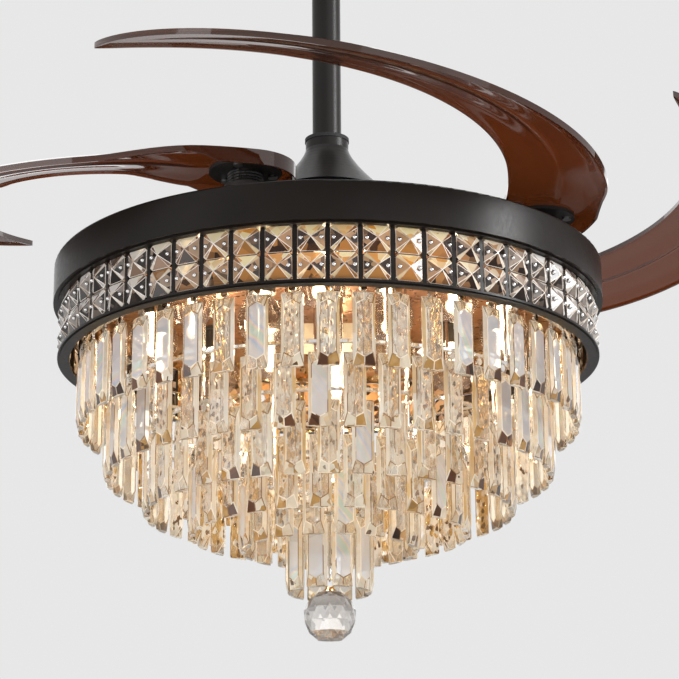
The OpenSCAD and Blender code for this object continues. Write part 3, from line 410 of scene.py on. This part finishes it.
# the band's stones, one material for each kind of facet: painted light on the top facets and edges,
# painted shade on the flat middles, sides and feet, and painted glints on the bevelled seams
STONE_LIGHT_AND_SHADE = [
    crystal("stone_top", (0.80, 0.34, 0.06), (1.0, 0.84, 0.46), 120, 0.3, 0.18, step=HARD,
            aside=((0.14, 0.10, 0.08), (0.85, 0.82, 0.78))),
    crystal("stone_side", (0.040, 0.015, 0.006), (0.66, 0.38, 0.18), 150, 0.3, 0.02, step=HARD,
            aside=((0.020, 0.015, 0.012), (0.46, 0.41, 0.37))),
    crystal("stone_foot", (0.035, 0.012, 0.004), (0.66, 0.29, 0.07), 120, 0.3, 0.0, step=HARD,
            aside=((0.016, 0.010, 0.007), (0.26, 0.20, 0.16))),
    crystal("stone_edge", (0.36, 0.14, 0.035), (1.0, 0.78, 0.40), 90, 0.4, 0.14, step=HARD,
            aside=((0.12, 0.09, 0.08), (0.95, 0.91, 0.87))),
    crystal("stone_line", (0.60, 0.46, 0.34), (1.0, 0.94, 0.86), 120, 0.2, 0.18, step=HARD),
]
LINED = ("drum_shade", "band_frame", "band_slats")

for row in frame["record"]["subparts"]:
    node = nodes[row["node"]]
    while len(node.material_slots) < 1:
        node.data.materials.append(None)
    for slot in node.material_slots:
        slot.material = lined if row["node"] in LINED else finish[row["material_slot"]]

# ---------------------------------------------------------------- pieces made from the solids


def outline_of(node):
    """The CAD node's mesh as a bmesh of flat faces, with the doubled points merged."""
    mesh = bmesh.new()
    mesh.from_mesh(nodes[node].data)
    bmesh.ops.remove_doubles(mesh, verts=mesh.verts, dist=1e-6)
    bmesh.ops.dissolve_limit(mesh, angle_limit=math.radians(0.6), verts=mesh.verts, edges=mesh.edges)
    return mesh


def groups_of(mesh):
    """The loose parts of a bmesh, each a list of its faces, in the mesh's own order."""
    seen = set()
    for first in mesh.faces:
        if first in seen:
            continue
        seen.add(first)
        stack = [first]
        found = []
        while stack:
            face = stack.pop()
            found.append(face)
            for edge in face.edges:
                for other in edge.link_faces:
                    if other not in seen:
                        seen.add(other)
                        stack.append(other)
        yield found


def piece_from(mesh, name, node, materials):
    """A new object from a bmesh, standing for a CAD node and riding on its body."""
    data = bpy.data.meshes.new(name)
    mesh.to_mesh(data)
    mesh.free()
    for material in materials:
        data.materials.append(material)
    piece = bpy.data.objects.new(name, data)
    bpy.context.scene.collection.objects.link(piece)
    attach(piece, body_of_node[node])
    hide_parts(node)
    return piece


def add_bevel(piece, width, material, angle=12):
    """Narrow flats along the edges sharper than the angle, with a material of their own."""
    bevel = piece.modifiers.new("edges", "BEVEL")
    bevel.width = width
    bevel.segments = 1
    bevel.limit_method = "ANGLE"
    bevel.angle_limit = math.radians(angle)
    bevel.material = material


def centre_of(faces):
    """The mean of the faces' points, added up in a fixed order."""
    points = dict.fromkeys(v for f in faces for v in f.verts)
    return sum((v.co for v in points), Vector()) / len(points)


PRISM_LIGHT_AND_SHADE = [window, strip, strip_bulb_light, line, back, bulb_glints, window_pale, window_bulb_light,
                  cut_glints, cut_clear, cut_shade]
# the cut corners' painted glints and painted shade, in turn
CUT_GLINTS_AND_SHADE = [cut_glints, cut_clear, cut_glints, cut_shade, cut_clear, cut_glints, cut_glints]
TIERS = 6
BULB_LIGHT_REACH_TOP = 0.11                # how far sideways the prisms with painted bulb light reach in the first tier
BULB_LIGHT_REACH = 0.14                    # and those of the tiers under it
OUTWARD = 0.3                   # how much a face looks out, to be one of the front's
STRAIGHT_OUT = 0.97
SLOPED = 0.05                   # how much a corner facet looks up or down
SEAM = math.pi + 0.01           # starts a tier's order just before -X
LAST_SEAM = math.pi - 0.01      # and just after it in the last tier
EVEN = 0.001                    # how near a prism is to the front's middle or an end, to be right there
STONE_FLAT = 0.99               # how straight out a stone's flat middle looks
STONE_STEEP = 0.3               # how much its top and foot facets look up or down
STONE_LEVEL = 0.15              # and how little a facet may, or may look sideways, to be level
PRISM_BEVEL = 0.00045
STONE_BEVEL = 0.0003


def out_of(middle):
    """The level direction from the lamp's axis to a point."""
    return Vector((middle.x, middle.y, 0)).normalized()


def in_order(groups, seam):
    """The loose parts in the order of their directions from the lamp's axis, from the seam on.
    No part lies at the seam, so rounding can't move one from the first place to the last."""
    def turn(faces):
        middle = centre_of(faces)
        return (math.atan2(middle.y, middle.x) + seam) % math.tau
    return sorted(groups, key=turn)


def on_far_side(n, out):
    """Whether a corner facet is on the side of its prism that is further from the middle of the
    lamp's front or back. Right at that middle it is the right side, seen from outside, and at
    the lamp's two ends both sides are."""
    aside = n.y * out.x - n.x * out.y
    if abs(out.x) < EVEN:
        return aside > 0
    return aside * out.x * out.y < EVEN


def dress_prisms():
    """The hanging prisms: clear faces with a painted glow and painted rainbow light, edge strips
    with a painted highlight, and cut corners with painted glints or painted shade. Those before
    and behind the bulbs carry the painted light of the bulbs; they, and every third one
    elsewhere, have small facets with painted gold glints on their backs."""
    for tier in range(1, TIERS + 1):
        node = f"prisms_{tier}"
        mesh = outline_of(node)
        seam = LAST_SEAM if tier == TIERS else SEAM
        for k, faces in enumerate(in_order(groups_of(mesh), seam)):
            middle = centre_of(faces)
            out = out_of(middle)
            # prisms near the middle of the front and back get the painted light of the bulbs
            inner = tier < 5 and abs(middle.x) < (BULB_LIGHT_REACH_TOP if tier < 2 else BULB_LIGHT_REACH)
            backs = bulb_glints if inner or tier < TIERS and k % 3 == 0 else back
            pane = window_bulb_light if inner else window
            if tier == TIERS or (not inner and tier < 3) or k % (9 if inner else 4) == 1:
                pane = window_pale
            for face in faces:
                n = face.normal
                lean = n.dot(out)
                kind = backs
                if lean > OUTWARD and abs(n.z) > SLOPED:
                    kind = cut_clear
                    if n.z < 0:
                        far_side = on_far_side(n, out)
                        kind = CUT_GLINTS_AND_SHADE[(3 * k + 2 * tier + 4 * far_side) % len(CUT_GLINTS_AND_SHADE)]
                        # far corner facets of the outer prisms in the upper tiers: painted shade
                        if far_side and not inner and tier < 4:
                            kind = cut_shade
                elif lean > STRAIGHT_OUT:
                    kind = pane
                elif lean > OUTWARD:
                    kind = strip_bulb_light if inner else strip
                face.material_index = PRISM_LIGHT_AND_SHADE.index(kind)
        piece = piece_from(mesh, f"prism_row_{tier}", node, PRISM_LIGHT_AND_SHADE)
        add_bevel(piece, PRISM_BEVEL, PRISM_LIGHT_AND_SHADE.index(line))


def dress_band():
    """The square crystals of the band, each facet in its own tone of painted light or shade."""
    top, side, foot, edge, seam = range(len(STONE_LIGHT_AND_SHADE))
    mesh = outline_of("band_crystals")
    for faces in groups_of(mesh):
        out = out_of(centre_of(faces))
        for face in faces:
            n = face.normal
            lean = n.dot(out)
            part = edge
            if lean > STONE_FLAT or lean < OUTWARD or abs(n.z) < STONE_LEVEL:
                part = side
            elif abs(n.z) > STONE_STEEP and abs(n.cross(out).z) < STONE_LEVEL:
                part = top if n.z > 0 else foot
            face.material_index = part
    piece = piece_from(mesh, "band_stones", "band_crystals", STONE_LIGHT_AND_SHADE)
    add_bevel(piece, STONE_BEVEL, seam)


def copies_of(one, spots, name):
    """A mesh with a copy of a small bmesh at each place."""
    one.verts.index_update()
    points = [v.co.copy() for v in one.verts]
    loops = [[v.index for v in f.verts] for f in one.faces]
    one.free()
    places = [p + spot for spot in spots for p in points]
    starts = [k * len(points) for k in range(len(spots))]
    data = bpy.data.meshes.new(name)
    data.from_pydata(places, [], [[i + start for i in loop] for start in starts for loop in loops])
    return data


STUD_RADIUS = 0.0021
STUD_INSET = 0.0028             # from a stone's side edge to the middle of its stud
STUD_STAND = 0.0045             # from a stone's back to the middle of its stud


def add_band_studs():
    """The small round claws that hold each crystal of the band at its two sides."""
    stones = outline_of("band_crystals")
    one = bmesh.new()
    bmesh.ops.create_uvsphere(one, u_segments=10, v_segments=6, radius=STUD_RADIUS)
    spots = []
    for faces in groups_of(stones):
        middle = centre_of(faces)
        points = [v.co for f in faces for v in f.verts]
        out = out_of(middle)
        side = Vector((-out.y, out.x, 0))
        half = max((p - middle).dot(side) for p in points)
        front = min(p.dot(out) for p in points) + STUD_STAND
        for way in (-1, 1):
            spots.append(out * front + side * way * (half - STUD_INSET) + Vector((0, 0, middle.z)))
    stones.free()
    data = copies_of(one, spots, "band_studs")
    data.materials.append(finish["chrome"])
    data.shade_smooth()
    studs = bpy.data.objects.new("band_studs", data)
    bpy.context.scene.collection.objects.link(studs)
    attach(studs, "hanger")


PIVOT_RADIUS = 0.2025
PIVOT_AZIMUTH = math.radians(-20)
BLADE_LENGTH = 0.605
BLADE_RADIUS = 0.043
BLADE_THICKNESS = 0.003
BLADE_ROOT_Z = 0.032
BLADE_RISE = 0.068
BLADE_LEAN = math.radians(-53)
BLADE_SWEEP = math.radians(-152)
BLADE_PITCH = math.radians(16)
FLAT_ROOT = 0.055               # the share of a blade's length that stays level at its root
RISE_BEND = 1.6                 # how late a blade rises towards its tip
TAPER_START = 3.2               # how late a blade grows narrow
TAPER_END = 0.8                 # how blunt its tip is
PITCH_MOST = 0.43               # the share of its length where a blade is pitched most
PITCH_SPREAD = 0.56             # from there to where the pitch would be none
PITCH_START = 0.06
PITCH_GROWS = 0.14
CROWN = 0.0035                  # the height of the relief over a blade's width
CROWN_START = 0.04              # where along a blade its relief starts, and over how much it grows
CROWN_GROWS = 0.1
CROWN_END = 0.62                # where it starts to end, and over how much it fades
CROWN_FADES = 0.3
EDGE = 0.002
LIP = 0.002                     # how far a blade's edges hang under it
ROOT_LIP = 0.008                # and how much further at its root
ROOT_LIP_END = 0.075
ROOT_LIP_FADES = 0.03
BLADE_BEVEL = 0.0005
CROSSINGS = 36                  # points across a blade's top, and as many underneath
# the relief over a blade's width, from its inner edge at -1 to its outer one at 1
RELIEF = ((-1, 0), (-0.45, 0.4), (-0.02, 0.3), (0.08, 1.0), (0.6, 0.9), (1, 0))
ROOT_ARC = range(8, 90, 8)      # degrees round a blade's root, where its sections are
SECTIONS = 60                   # sections along a blade, before those at its tip
TIP_START = 0.95
TIP_SECTIONS = [0.962, 0.974, 0.984, 0.992, 0.997, 0.9996]


def ease(x):
    x = min(max(x, 0.0), 1.0)
    return x * x * (3 - 2 * x)


def blade_place(t):
    """A blade's heading and the middle of its width, at the share t of its length."""
    turn = BLADE_LEAN + BLADE_SWEEP * max(t, 0)
    reach = BLADE_LENGTH / BLADE_SWEEP
    behind = min(t, 0) * BLADE_LENGTH
    x = reach * (math.sin(turn) - math.sin(BLADE_LEAN)) + behind * math.cos(BLADE_LEAN)
    y = reach * (math.cos(BLADE_LEAN) - math.cos(turn)) + behind * math.sin(BLADE_LEAN)
    risen = (max(t - FLAT_ROOT, 0) / (1 - FLAT_ROOT)) ** RISE_BEND
    return turn, Vector((x, y, deck + BLADE_ROOT_Z + BLADE_RISE * risen))


def blade_half_width(t):
    """Half a blade's width: a round root, and a long taper to the tip."""
    if t < 0:
        return math.sqrt(max(BLADE_RADIUS ** 2 - (t * BLADE_LENGTH) ** 2, 1e-6))
    return BLADE_RADIUS * max(1 - t ** TAPER_START, 0.0004) ** TAPER_END


def blade_relief(u, crown):
    """The height over a blade's width: a low inner band, a crease, and a higher outer band."""
    for (u0, h0), (u1, h1) in zip(RELIEF, RELIEF[1:]):
        if u <= u1:
            return crown * (h0 + (h1 - h0) * ease((u - u0) / (u1 - u0)))
    return 0.0


def blade_section(t):
    """A closed outline round the blade at t, with both edges turned down."""
    h = blade_half_width(t)
    edge = min(EDGE, 0.4 * h)
    crown = CROWN * ease((t - CROWN_START) / CROWN_GROWS) * (1 - ease((t - CROWN_END) / CROWN_FADES))
    low = BLADE_THICKNESS + LIP + ROOT_LIP * ease((ROOT_LIP_END - t) / ROOT_LIP_FADES)
    shares = [2 * i / (CROSSINGS - 1) - 1 for i in range(CROSSINGS)]
    top = [(u * h, blade_relief(u, crown)) for u in shares]
    under = [(u * (h - edge), blade_relief(u, crown) - BLADE_THICKNESS) for u in reversed(shares)]
    return top + [(h, -low), (h - edge, -low)] + under + [(edge - h, -low), (-h, -low)]


def blade_ring(t):
    """The section at t as points in space, turned and pitched as the blade is there."""
    turn, middle = blade_place(t)
    pitch = BLADE_PITCH * (1 - ((t - PITCH_MOST) / PITCH_SPREAD) ** 2)
    pitch = pitch * ease((t - PITCH_START) / PITCH_GROWS)
    ring = []
    for q, r in blade_section(t):
        across = q * math.cos(pitch) + r * math.sin(pitch)
        up = r * math.cos(pitch) - q * math.sin(pitch) + BLADE_THICKNESS / 2
        ring.append(middle + Vector((-across * math.sin(turn), across * math.cos(turn), up)))
    return ring


def dress_blades():
    """The blades: smooth lofts along their curve, tinted from root to tip, with a painted highlight on
    their bevelled rims.
    """
    stations = [-BLADE_RADIUS / BLADE_LENGTH * math.cos(math.radians(a)) for a in ROOT_ARC]
    stations += [TIP_START * i / SECTIONS for i in range(SECTIONS + 1)] + TIP_SECTIONS
    for k in range(1, 5):
        turn = Matrix.Rotation(PIVOT_AZIMUTH - (k - 1) * math.pi / 2, 4, "Z")
        place = turn @ Matrix.Translation((PIVOT_RADIUS, 0, 0))
        mesh = bmesh.new()
        tone = mesh.verts.layers.float.new("along")
        rings = []
        for t in stations:
            ring = [mesh.verts.new(place @ p) for p in blade_ring(t)]
            for v in ring:
                v[tone] = max(t, 0)
            rings.append(ring)
        count = len(rings[0])
        for near, far in zip(rings, rings[1:]):
            for i in range(count):
                j = (i + 1) % count
                mesh.faces.new((near[i], near[j], far[j], far[i]))
        mesh.faces.new(rings[0][::-1])
        mesh.faces.new(rings[-1])
        bmesh.ops.recalc_face_normals(mesh, faces=mesh.faces)
        piece = piece_from(mesh, f"blade_shell_{k}", f"blade_{k}",
                           [finish["blade_plastic"], blade_rim_highlight])
        add_bevel(piece, BLADE_BEVEL, 1, angle=50)
        piece.data.shade_smooth()
        piece.data.set_sharp_from_angle(angle=math.radians(40))


dress_prisms()
dress_band()
add_band_studs()
dress_blades()

# ---------------------------------------------------------------- stage and light

FLOOR_Z = -2.7
FLOOR_HALF = 20.0
PALE = 0.80
FLOOR_SEEN = (0.30, 0.30, 0.30)  # the paint that the camera sees
FLOOR_LIFT = 0.66                # what the floor gives off for the camera, to meet the surround


def add_floor():
    """A plain pale floor with a soft mottling, clear from underneath."""
    data = bpy.data.meshes.new("floor")
    corners = ((-1, -1), (1, -1), (1, 1), (-1, 1))
    data.from_pydata([(x * FLOOR_HALF, y * FLOOR_HALF, FLOOR_Z) for x, y in corners], [], [(0, 1, 2, 3)])
    s = Shader("floor_paint")
    seen = s.node("ShaderNodeLightPath").outputs["Is Camera Ray"]
    under = s.node("ShaderNodeNewGeometry").outputs["Backfacing"]
    paint = s.blend(s.span(s.noise(0.6), 0, 1), (0.77, 0.76, 0.75), (0.80, 0.80, 0.79))
    s.put(Base_Color=s.blend(seen, paint, FLOOR_SEEN), Roughness=0.8, Specular_IOR_Level=0.1,
          Emission_Color=(1, 1, 1), Emission_Strength=s.span(seen, 0, FLOOR_LIFT, 0, 1),
          Alpha=s.span(under, 1, 0, 0, 1))
    data.materials.append(s.mat)
    floor = bpy.data.objects.new("floor", data)
    bpy.context.scene.collection.objects.link(floor)
    floor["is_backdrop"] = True


SURROUND_LIGHT = (0.45, 0.45, 0.46, 1)


def add_world():
    """A pale surround that the camera, metal and glass see, and a softer one that lights."""
    world = bpy.data.worlds.new("surround")
    bpy.context.scene.world = world
    world.use_nodes = True
    tree = world.node_tree
    path = tree.nodes.new("ShaderNodeLightPath")
    seen = path.outputs["Is Camera Ray"]
    for ray in ("Is Transmission Ray", "Is Glossy Ray"):
        either = tree.nodes.new("ShaderNodeMath")
        either.operation = "MAXIMUM"
        tree.links.new(seen, either.inputs[0])
        tree.links.new(path.outputs[ray], either.inputs[1])
        seen = either.outputs[0]
    light = tree.nodes["Background"]
    light.inputs["Color"].default_value = SURROUND_LIGHT
    pale = tree.nodes.new("ShaderNodeBackground")
    pale.inputs["Color"].default_value = (PALE, PALE, PALE, 1)
    mix = tree.nodes.new("ShaderNodeMixShader")
    tree.links.new(seen, mix.inputs[0])
    tree.links.new(light.outputs[0], mix.inputs[1])
    tree.links.new(pale.outputs[0], mix.inputs[2])
    tree.links.new(mix.outputs[0], tree.nodes["World Output"].inputs["Surface"])


AIM = Vector((0, 0, deck - 0.1))


def add_area(name, place, size, power):
    """A soft white lamp, turned to the middle of the drum."""
    data = bpy.data.lights.new(name, "AREA")
    data.shape = "RECTANGLE"
    data.size, data.size_y = size
    data.energy = power
    lamp = bpy.data.objects.new(name, data)
    bpy.context.scene.collection.objects.link(lamp)
    lamp.location = place
    lamp.rotation_euler = (AIM - Vector(place)).to_track_quat("-Z", "Y").to_euler()
    return lamp


def keep_off(lamp, pieces):
    """Keeps a lamp's light off these pieces, as a studio's flag does."""
    group = bpy.data.collections.new(f"off_{lamp.name}")
    for piece in pieces:
        group.objects.link(piece)
    for row in group.collection_objects:
        row.light_linking.link_state = "EXCLUDE"
    lamp.light_linking.receiver_collection = group


BULB_POWER = 0.9
BULB_COLOUR = (1.0, 0.72, 0.42)
BULB_LIGHT_RADIUS = 0.006
BULB_LIGHT_RISE = 0.009         # from a globe's lowest point to its light


def add_bulb_lights():
    """A small warm light in each globe."""
    mesh = outline_of("bulb_globes")
    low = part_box("bulb_globes")[0].z
    for k, faces in enumerate(groups_of(mesh)):
        middle = centre_of(faces)
        data = bpy.data.lights.new(f"bulb_light_{k}", "POINT")
        data.energy = BULB_POWER
        data.color = BULB_COLOUR
        data.shadow_soft_size = BULB_LIGHT_RADIUS
        lamp = bpy.data.objects.new(f"bulb_light_{k}", data)
        bpy.context.scene.collection.objects.link(lamp)
        lamp.location = (middle.x, middle.y, low + BULB_LIGHT_RISE)
        lamp.visible_transmission = False
        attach(lamp, "hanger")
    mesh.free()


add_floor()
add_world()
add_area("key", (1.5, -2.0, 0.5), (2.6, 2.6), 13)
add_area("fill", (-2.2, -1.4, -0.6), (1.6, 1.6), 13)
add_area("from_below", (0.3, -1.6, -2.0), (2.0, 1.2), 11)
add_area("rim", (0.2, 2.4, 0.9), (3.0, 2.0), 13)
add_area("top", (-0.6, -0.4, 1.8), (2.4, 2.4), 9)
strip_right = add_area("strip_right", (2.2, -0.7, deck + 0.7), (0.6, 1.4), 44)
keep_off(strip_right, [o for o in bpy.data.objects if o.name.startswith(("blade_shell_", "prism_row_"))])
add_bulb_lights()

scene = bpy.context.scene
scene.view_settings.view_transform = "Standard"
scene.cycles.use_denoising = True
scene.cycles.max_bounces = 10
scene.cycles.transmission_bounces = 8
scene.cycles.glossy_bounces = 4
scene.cycles.diffuse_bounces = 3
scene.cycles.transparent_max_bounces = 12
scene.cycles.caustics_refractive = True
scene.cycles.caustics_reflective = False
scene.cycles.sample_clamp_indirect = 6.0

boxes = {"cad": cad_box, "visual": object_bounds()}
{k: [[float(x) for x in corner] for corner in v] for k, v in boxes.items()}
